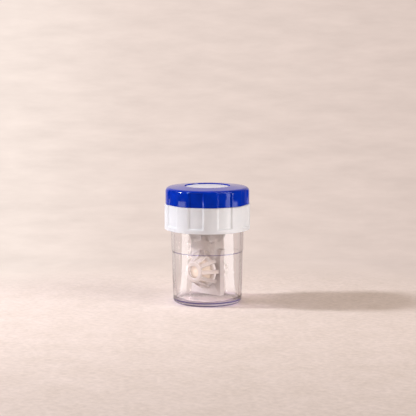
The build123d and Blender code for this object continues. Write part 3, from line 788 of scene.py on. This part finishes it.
# %% [markdown]
# ## The baskets
# Each basket is a hub ring with ten straight fingers, which slope outwards to reach round the
# lens seat. It is modelled lying on its back, round the upright axis: the ring as a turned
# form, and one finger drawn as an outline and given its width. A shallow channel runs along
# the outer face of each finger. The finger is copied round and joined to the ring, and then
# the whole basket is stood up on the axle.

# %% Drawing a flat outline
axle_height = 19.25


def draw_outline(name, points, low, high):
    """A flat form: an outline of (x, z) points in mm, filled, with its thickness along y."""
    clear_selection()
    bpy.ops.mesh.primitive_plane_add(size=1 * MM, location=(0, 0, 0))
    piece = bpy.context.object
    piece.name = piece.data.name = name
    work_on(piece)
    bpy.ops.mesh.select_all(action="SELECT")
    bpy.ops.mesh.merge(type="CENTER")
    bpy.ops.mesh.select_all(action="SELECT")
    x, z = points[0]
    bpy.ops.transform.translate(value=(x * MM, low * MM, z * MM))
    for next_x, next_z in points[1:]:
        step = ((next_x - x) * MM, 0, (next_z - z) * MM)
        bpy.ops.mesh.extrude_vertices_move(TRANSFORM_OT_translate={"value": step})
        x, z = next_x, next_z
    bpy.ops.mesh.select_all(action="SELECT")
    bpy.ops.mesh.edge_face_add()
    bpy.ops.mesh.extrude_region_move(
        TRANSFORM_OT_translate={"value": (0, (high - low) * MM, 0)}
    )
    bpy.ops.mesh.select_all(action="SELECT")
    bpy.ops.mesh.normals_make_consistent(inside=False)
    leave_edit()
    return piece


def place_piece(piece, location=(0, 0, 0), rotation=(0, 0, 0)):
    """Moves a piece by mm and turns it by degrees, and leaves its object at the origin."""
    select_only(piece)
    piece.location = [value * MM for value in location]
    piece.rotation_euler = [math.radians(value) for value in rotation]
    bpy.ops.object.transform_apply(location=True, rotation=True, scale=True)


# %% Baskets
ring_face = 12.2
ring_back = 10.8
ring_middle = (ring_face + ring_back) / 2
finger_count = 10
finger_turn = 1.8
finger_root = 5.6
finger_reach = 10.6
finger_end = 2.6
finger_half = 0.6
finger_slope = (finger_reach - finger_root) / (ring_middle - finger_end)


def finger_line(distance, side):
    """Radius of a finger's inner (-1) or outer (+1) face at a distance from the plate."""
    middle = finger_reach - finger_slope * (distance - finger_end)
    return middle + side * finger_half * math.sqrt(1 + finger_slope**2)


end_tilt = finger_half / math.sqrt(1 + finger_slope**2)
inner_end = (finger_reach - end_tilt, finger_end - end_tilt * finger_slope)
outer_end = (finger_reach + end_tilt, finger_end + end_tilt * finger_slope)
finger_points = [
    (4.85, ring_face - 0.45),
    (4.85, ring_back + 0.45),
    (finger_line(ring_back + 0.35, -1), ring_back + 0.35),
    inner_end,
    outer_end,
    (finger_line(ring_face - 0.45, 1), ring_face - 0.45),
]
finger = draw_outline("finger", finger_points, -1.15, 1.15)
work_on(finger)
out_way = Vector((1, 0, finger_slope)).normalized()
pick_faces(finger, lambda middle, normal: normal.dot(out_way) > 0.99)
bpy.ops.mesh.inset(thickness=0.38 * MM)
bpy.ops.mesh.inset(thickness=0.12 * MM, depth=-0.22 * MM)
leave_edit()
soften(finger, 0.14, 3, 40)
finger_angles = [finger_turn + 360 / finger_count * i for i in range(finger_count)]
fingers = join_pieces([turned_copy(finger, angle) for angle in finger_angles], "fingers")
bpy.data.objects.remove(finger, do_unlink=True)
basket_profile = [(3.7, 11.0), (3.9, 10.8), (5.8, 10.8), (6.0, 11.0), (6.0, 11.9)]
basket_profile += arc(5.7, 11.9, 0.3, 0, 90, 4)[1:] + arc(4.0, 11.9, 0.3, 90, 180, 4)
front_basket = draw_rings("basket_front", basket_profile, 90)
cut_away(front_basket, fingers, "UNION")
back_basket = turned_copy(front_basket, 0)
back_basket.name = back_basket.data.name = "basket_back"
place_piece(front_basket, (0, 0, axle_height), (90, 0, 0))
place_piece(back_basket, (0, 0, axle_height), (90, 0, 180))
finish_piece(front_basket, "front_basket", ["front_basket"], basket_pp)
finish_piece(back_basket, "back_basket", ["back_basket"], basket_pp)

# %% [markdown]
# ## The plate between the wheels
# A flat plate with flared shoulders at its top, two prongs that snap into the hanger, and a
# slot for the pinion. Its outline is drawn once and given its thickness. Holes for the axle
# and the shaft's tip are cut, and a low round boss on each face keeps the wheels off it.

# %% Plate
half_outline = [(3.79, 24.45), (3.79, 30.1), (4.6, 31.3), (4.6, 34.5), (6.9, 34.5), (7.2, 34.1)]
half_outline += [(7.8, 33.3), (7.2, 33.3), (7.2, 32.5), (12.4, 32.5), (11.2, 30.1), (11.2, 4.9)]
plate_outline = half_outline + [(-x, z) for x, z in reversed(half_outline)]
plate = draw_outline("plate_clear", plate_outline, -1.65, 1.65)


def new_rod(name, radius, low, high, axis="Z", middle=(0, 0), steps=64):
    """A round rod, in mm, along the upright axis or along y, closed at both ends."""
    rod = draw_rings(name, [(radius, low), (radius, high)], steps, filled=True, ending="point")
    if axis == "Y":
        place_piece(rod, (middle[0], 0, middle[1]), (-90, 0, 0))
    else:
        place_piece(rod, (*middle, 0))
    return rod


cut_away(plate, new_rod("plate_boss", 3.2, -1.85, 1.85, "Y", (0, axle_height)), "UNION")
cut_away(plate, new_rod("axle_hole", 1.525, -3, 3, "Y", (0, axle_height)))
cut_away(plate, new_rod("tip_hole", 0.95, 21.9, 25))
soften(plate, 0.22, 3, 40)
finish_piece(plate, "lid", ["basket_plate"], plate_pp)

# %% [markdown]
# ## The hanger
# It clips onto the collar's boss with a sleeve. A flange and a short cone lead down to two
# legs and an arch over the wheels, with a raised edge along the arch, and a tapered tube
# round the shaft stands between the legs. Turned forms and flat outlines are joined into one
# with Booleans, and the room for shaft, plate and prongs is cut out at the end.


# %% Hanger
def arch_points(radius, half_width, parts=24):
    """Points along an arch round the axle, from +x to -x, out to half a width."""
    reach = math.asin(half_width / radius)
    points = []
    for i in range(parts + 1):
        angle = reach - 2 * reach * i / parts
        points.append((radius * math.sin(angle), axle_height + radius * math.cos(angle)))
    return points


leg_outline = [(-9.1, 41.6), (9.1, 41.6)] + arch_points(12.7, 9.1)
hanger = draw_outline("hanger_clear", leg_outline, -3.9, 3.9)
window_outline = [(-7.2, 40.6), (7.2, 40.6)] + arch_points(17.3, 7.2)
cut_away(hanger, draw_outline("window", window_outline, -5, 5))
rib_outline = arch_points(14.5, 9.1) + arch_points(12.7, 9.1)[::-1]
cut_away(hanger, draw_outline("rib", rib_outline, -4.7, 4.7), "UNION")
flange_profile = [(9.38, 36.6), (11.0, 40.6), (11.0, 43.2), (8.35, 43.2), (8.35, 53.2)]
flange_profile += [(6.45, 53.2), (6.45, 48.35), (5.95, 48.15), (5.95, 47.45), (6.45, 47.25)]
flange_profile += [(6.45, 43.2)]
flange = draw_rings("flange", flange_profile, 96, filled=True, ending="point")
cut_away(flange, new_box("flange_window", (-7.2, -14, 36), (7.2, 14, 40.6)))
cut_away(hanger, flange, "UNION")
tube = draw_rings("tube", [(3.11, 34.25), (4.0, 40.7)], 64, filled=True, ending="point")
cut_away(hanger, tube, "UNION")
cut_away(hanger, new_rod("shaft_room", 2.9, 30, 45))
cut_away(hanger, new_box("plate_room", (-13, -1.7, 26), (13, 1.7, 32.55)))
for way in (-1, 1):
    ends = sorted((way * 4.55, way * 7.25))
    cut_away(hanger, new_box("prong_room", (ends[0], -1.7, 32), (ends[1], 1.7, 34.55)))
    ends = sorted((way * 4.6, way * 7.85))
    cut_away(hanger, new_box("snap_room", (ends[0], -1.7, 33.25), (ends[1], 1.7, 34.15)))
soften(hanger, 0.16, 2, 40)
finish_piece(hanger, "lid", ["hanger"], clear_pp)

# %% [markdown]
# ## Parts that keep their modelled form
# The small machine parts inside already have their true form, so they only get their finish.

# %% Finishes for the rest
finishes = {
    "cup_gasket": silicone,
    "shaft_seal": silicone,
    "thrust_washer": collar_pp,
    "knob_screw": steel,
    "wheel_axle": steel,
    "axle_clips": steel,
    "drive_shaft": milky_pp,
    "drive_pinion": milky_pp,
    "front_wheel": milky_pp,
    "back_wheel": milky_pp,
    "front_lens_seat": seat_pp,
    "back_lens_seat": seat_pp,
}
for node, material in finishes.items():
    for material_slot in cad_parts[node].material_slots:
        material_slot.material = material
print("finished", len(finishes), "nodes")

# %% [markdown]
# ## The room
# The wall behind is pale and warm, brighter on the left, where the lamp stands. It is a colour
# for each direction of view, so the world can show it and the far table can take it up. Gloss
# sees more of the room: the bright wall behind, dim space in front and at the sides, and upright
# white panels that draw the bright lines on knob and cup. That dim space is what keeps the
# blue of the knob deep. Surfaces close by see two broad panels, and far ones see a narrow one.

# %% The room's colours
glossy_dim = 0.05
broad_panels = ((-72, 12, 4.5), (69, 18, 4.2))
narrow_panel = (61.4, 7, 5.0)


def graded_wall(tree, look):
    """The wall's colour in a direction of view: brighter on the left, with faint streaks."""
    side, up = (
        add_node(tree, "VectorMath", {0: look, 1: direction}, operation="DOT_PRODUCT")
        for direction in (to_right, (0, 0, 1))
    )
    place = add_node(tree, "MapRange", {"Value": side, "From Min": -0.17, "From Max": 0.17})
    colours = add_node(tree, "ValToRGB", {"Fac": place})
    stops = colours.color_ramp.elements
    stops[0].position, stops[0].color = 0.05, light_value("F8E8DF")
    stops[1].position, stops[1].color = 1.0, light_value("DDCAC1")
    stops.new(0.35).color = light_value("EBD9D0")
    stretched = {
        axis: add_node(tree, "Math", {0: reach, 1: streaks_per_unit}, operation="MULTIPLY")
        for axis, reach, streaks_per_unit in (("X", side, 22), ("Y", up, 90))
    }
    streak_place = add_node(tree, "CombineXYZ", stretched)
    streaks = add_node(
        tree, "TexNoise", {"Vector": streak_place, "Scale": 1, "Detail": 4, "Roughness": 0.6}
    )
    streak_share = add_node(
        tree,
        "MapRange",
        {"Value": streaks, "From Min": 0.3, "From Max": 0.7, "To Min": 0.945, "To Max": 1.055},
    )
    return add_node(tree, "VectorMath", {0: colours, "Scale": streak_share}, operation="SCALE")


def mirrored(tree, ray):
    """1 for what a glossy surface mirrors; a ray through clear plastic counts as glossy too."""
    difference = add_node(
        tree,
        "Math",
        {0: ray.outputs["Is Glossy Ray"], 1: ray.outputs["Is Transmission Ray"]},
        operation="SUBTRACT",
    )
    return add_node(tree, "Math", {0: difference, 1: 0.5}, operation="GREATER_THAN")


def white_panels(tree, angle, panels, share):
    """Upright panels, each an angle from the camera, half a width and a strength, by a share."""
    light = 0.0
    for panel_angle, half_width, strength in panels:
        offset = add_node(
            tree, "Math", {0: angle, 1: math.radians(panel_angle)}, operation="SUBTRACT"
        )
        offset = add_node(tree, "Math", {0: offset}, operation="ABSOLUTE")
        half = math.radians(half_width)
        panel = add_node(
            tree,
            "MapRange",
            {
                "Value": offset,
                "From Min": half * 0.85,
                "From Max": half * 1.15,
                "To Min": strength,
                "To Max": 0.0,
            },
            interpolation_type="SMOOTHSTEP",
        )
        light = add_node(tree, "Math", {0: panel, 1: share, 2: light}, operation="MULTIPLY_ADD")
    return light


def room_colour(tree, wall_look, look, ray, near_share=None):
    """The wall for the camera and through glass; gloss sees it dim except behind, and panels."""
    aside, ahead = (
        add_node(tree, "VectorMath", {0: look, 1: direction}, operation="DOT_PRODUCT")
        for direction in (to_right, to_camera)
    )
    angle = add_node(tree, "Math", {0: aside, 1: ahead}, operation="ARCTAN2")
    either_side = add_node(tree, "Math", {0: angle}, operation="ABSOLUTE")
    bright = add_node(
        tree,
        "MapRange",
        {
            "Value": either_side,
            "From Min": math.radians(120),
            "From Max": math.radians(165),
            "To Min": glossy_dim,
            "To Max": 1.0,
        },
        interpolation_type="SMOOTHSTEP",
    )
    if near_share is None:
        panels = white_panels(tree, angle, [narrow_panel], 1.0)
    else:
        far_share = add_node(tree, "Math", {0: 1.0, 1: near_share}, operation="SUBTRACT")
        narrow = white_panels(tree, angle, [narrow_panel], far_share)
        broad = white_panels(tree, angle, broad_panels, near_share)
        panels = add_node(tree, "Math", {0: narrow, 1: broad}, operation="ADD")
    is_gloss = mirrored(tree, ray)
    white = add_node(tree, "Math", {0: is_gloss, 1: panels}, operation="MULTIPLY")
    share = add_node(tree, "Mix", {"Factor": is_gloss, "A": 1.0, "B": bright})
    wall = add_node(
        tree, "VectorMath", {0: graded_wall(tree, wall_look), "Scale": share}, operation="SCALE"
    )
    return add_node(tree, "VectorMath", {0: wall, 1: white}, operation="ADD")


def seen_by_eye(tree, ray):
    """1 for the camera's rays and for those it sees in gloss or through glass."""
    seen = ray.outputs["Is Camera Ray"]
    for kind in ("Is Glossy Ray", "Is Transmission Ray"):
        seen = add_node(tree, "Math", {0: seen, 1: ray.outputs[kind]}, operation="MAXIMUM")
    not_lighting = add_node(
        tree, "Math", {0: ray.outputs["Diffuse Depth"], 1: 0.5}, operation="LESS_THAN"
    )
    return add_node(tree, "Math", {0: seen, 1: not_lighting}, operation="MULTIPLY")


# %% [markdown]
# ## The table
# A pale, warm table that melts into the wall behind. Its colour is painted darker towards the
# viewer and to the right: painted shade where the lamp's light falls off. It takes light and
# shadow round the object. Further off it glows by itself with the wall's colour, so no edge
# shows where table and wall meet. What lies past the wall's foot is worked out from the
# camera's fixed place, as a painter plans a backdrop, so it stays where it is in other views.

# %% Table
table_side = 6.0
clear_selection()
bpy.ops.mesh.primitive_plane_add(size=table_side, location=(0, 0, 0))
table = bpy.context.object
table.name = table.data.name = "table"
table_paint, table_tree = new_material("warm pale table")
spot = add_node(table_tree, "TexCoord").outputs["Object"]
sideways, forwards = (
    add_node(table_tree, "VectorMath", {0: spot, 1: direction}, operation="DOT_PRODUCT")
    for direction in (to_right, to_camera)
)
view_way = add_node(table_tree, "VectorMath", {0: spot, 1: camera_place}, operation="SUBTRACT")
view_way = add_node(table_tree, "VectorMath", {0: view_way}, operation="NORMALIZE")
distance = add_node(table_tree, "VectorMath", {0: spot}, operation="LENGTH")
zone_middle = to_right * 0.01 + to_camera * 0.09
from_middle = add_node(
    table_tree, "VectorMath", {0: spot, 1: zone_middle}, operation="SUBTRACT"
)
turned = add_node(
    table_tree, "Mapping", {"Vector": from_middle, "Rotation": (0, 0, -view_turn)}
)
zone = add_node(table_tree, "VectorMath", {0: turned, 1: (0.8, 1, 1)}, operation="MULTIPLY")
zone = add_node(table_tree, "VectorMath", {0: zone}, operation="LENGTH")

# The table's shares, each a soft change of one measure (metres) from one number to another.
soft_shares = {}
for share_name, measure, start, end, low, high in (
    ("past the zone", zone, 0.14, 0.23, 0.0, 1.0),
    ("past the foot", distance, 0.03, 0.06, 0.0, 1.0),
    ("near", distance, 0.29, 0.33, 1.0, 0.0),
    ("towards the viewer", forwards, 0.04, 0.26, 1.0, 0.82),
    ("to the right", sideways, -0.12, 0.14, 1.04, 0.94),
):
    soft_shares[share_name] = add_node(
        table_tree,
        "MapRange",
        {"Value": measure, "From Min": start, "From Max": end, "To Min": low, "To Max": high},
        interpolation_type="SMOOTHSTEP",
    )

clouds = add_node(
    table_tree,
    "TexNoise",
    {"Vector": object_place(table_tree, 18), "Scale": 1, "Detail": 6, "Roughness": 0.65},
)
cloud_share = add_node(
    table_tree, "MapRange", {"Value": clouds, "From Min": 0.3, "From Max": 0.7}
)
table_tone = add_node(
    table_tree,
    "Mix",
    {"Factor": cloud_share, "A": light_value("F3E6E1"), "B": light_value("E9DCD5")},
    data_type="RGBA",
)
flecks = add_node(
    table_tree,
    "TexNoise",
    {"Vector": object_place(table_tree, 3), "Scale": 1, "Detail": 3, "Roughness": 0.6},
)
fleck_share = add_node(
    table_tree,
    "MapRange",
    {"Value": flecks, "From Min": 0.3, "From Max": 0.7, "To Min": 0.93, "To Max": 1.07},
)
# Painted shade: the table's colour is darker towards the viewer and to the right, where the lamp's
# light falls off.
for share in (soft_shares["towards the viewer"], soft_shares["to the right"], fleck_share):
    table_tone = add_node(
        table_tree, "VectorMath", {0: table_tone, "Scale": share}, operation="SCALE"
    )
table_light = add_node(table_tree, "BsdfDiffuse", {"Color": table_tone})
table_ray = add_node(table_tree, "LightPath")
wall_shown = room_colour(table_tree, view_way, spot, table_ray, soft_shares["near"])
table_glow = add_node(table_tree, "Emission", {"Color": wall_shown})
gloss_fade = add_node(
    table_tree,
    "Math",
    {0: soft_shares["past the foot"], 1: mirrored(table_tree, table_ray)},
    operation="MULTIPLY",
)
fade = add_node(
    table_tree, "Math", {0: soft_shares["past the zone"], 1: gloss_fade}, operation="MAXIMUM"
)
glow_share = add_node(
    table_tree, "Math", {0: seen_by_eye(table_tree, table_ray), 1: fade}, operation="MULTIPLY"
)
table_surface = add_node(
    table_tree, "MixShader", {"Fac": glow_share, 1: table_light, 2: table_glow}
)
add_node(table_tree, "OutputMaterial", {"Surface": table_surface})
table.data.materials.append(table_paint)
print("table laid,", table_side, "m wide")

# %% [markdown]
# ## The world
# The eye sees the wall's colour in every direction. Surfaces are lit by a plain warm light,
# weaker from the front. Light that has passed through the cup's wall counts for more, because
# the real cup gathers light that this scene's simple shadows leave out.

# %% World
world = bpy.data.worlds.new("room")
bpy.context.scene.world = world
world.use_nodes = True
room = world.node_tree
room.nodes.clear()
look = add_node(room, "TexCoord").outputs["Generated"]
room_ray = add_node(room, "LightPath")
frontal = add_node(room, "VectorMath", {0: look, 1: to_camera}, operation="DOT_PRODUCT")
dim_front = add_node(
    room,
    "MapRange",
    {"Value": frontal, "From Min": 0.0, "From Max": 0.8, "To Min": 0.44, "To Max": 0.26},
    interpolation_type="SMOOTHSTEP",
)
into_cup = add_node(
    room, "Math", {0: room_ray.outputs["Is Transmission Ray"], 1: 2.9}, operation="MULTIPLY"
)
strength = add_node(room, "Math", {0: dim_front, 1: into_cup}, operation="MAXIMUM")
room_light = add_node(
    room, "Background", {"Color": light_value("FFEAD9"), "Strength": strength}
)
room_wall = add_node(room, "Background", {"Color": room_colour(room, look, look, room_ray)})
room_surface = add_node(
    room, "MixShader", {"Fac": seen_by_eye(room, room_ray), 1: room_light, 2: room_wall}
)
add_node(room, "OutputWorld", {"Surface": room_surface})
print("room made")

# %% [markdown]
# ## Light
# One lamp stands to the left, 35 degrees up, small enough to throw a fairly sharp shadow to
# the right. A weaker, wide one fills in from the front right and lights that side of the lid.

# %% Lamps
aim = Vector((0, 0, 0.03))


def soft_lamp(name, side_angle, lift, size, power, colour, reach=0.8):
    """A square lamp that looks at the object; the angle is measured from the camera."""
    turn = view_turn + math.radians(side_angle)
    flat = Vector((math.sin(turn), -math.cos(turn), 0)) * math.cos(math.radians(lift))
    way = flat + Vector((0, 0, math.sin(math.radians(lift))))
    bpy.ops.object.light_add(
        type="AREA",
        location=aim + way * reach,
        rotation=(-way).to_track_quat("-Z", "Y").to_euler(),
    )
    lamp = bpy.context.object
    lamp.name = name
    lamp.data.size = size
    lamp.data.energy = power
    lamp.data.color = light_value(colour)[:3]
    lamp.visible_camera = False


soft_lamp("key lamp", -90, 35, 0.09, 5.2, "F8FAFF")
soft_lamp("fill lamp", 61, 22, 0.4, 3.3, "FFFAF4")

# %% Colour management and the last line
bpy.context.scene.view_settings.view_transform = "Standard"
